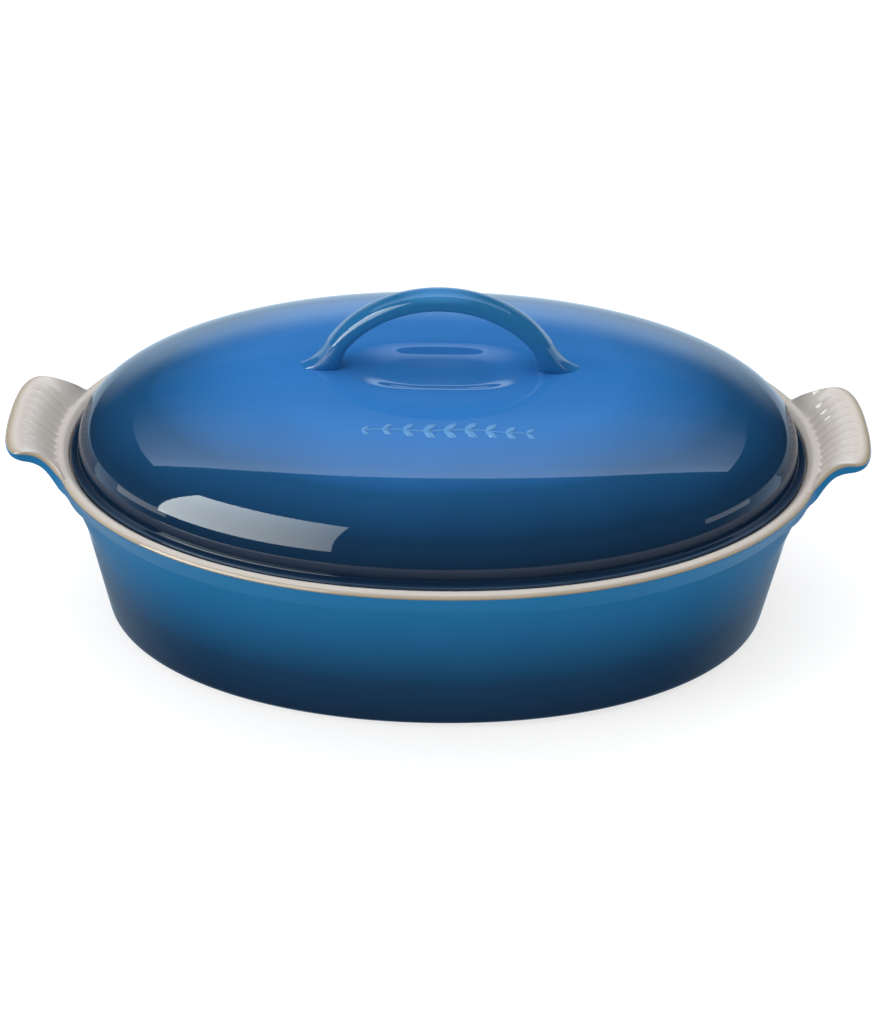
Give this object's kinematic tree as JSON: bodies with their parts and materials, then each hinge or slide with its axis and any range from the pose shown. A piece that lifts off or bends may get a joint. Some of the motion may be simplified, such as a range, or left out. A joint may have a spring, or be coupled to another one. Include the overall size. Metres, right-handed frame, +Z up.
{
  "type": "covered casserole dish",
  "caption": "Oval stoneware casserole dish with fluted fan lugs at both ends and a domed lift-off lid with a finger dimple under an arched handle.",
  "frame": {"origin": "on the table, under the centre of the dish's foot ring", "axes": "+X along the long axis towards lug_right, +Y across the dish, +Z up through the lid's arched handle"},
  "size_m": [0.3874, 0.212, 0.1763],
  "materials": {
    "dish_glaze": "gloss",
    "lug_glaze": "gloss",
    "lid_glaze": "gloss",
    "handle_glaze": "gloss"
  },
  "bodies": {
    "dish": {"dish": "dish_glaze", "lug_left": "lug_glaze", "lug_right": "lug_glaze"},
    "lid": {"lid": "lid_glaze", "lid_handle": "handle_glaze"}
  },
  "joints": [
    {"name": "lid_lift", "type": "slide", "parent": "dish", "child": "lid", "axis": [0, 0, 1], "range_m": [0, 0.12]}
  ]
}
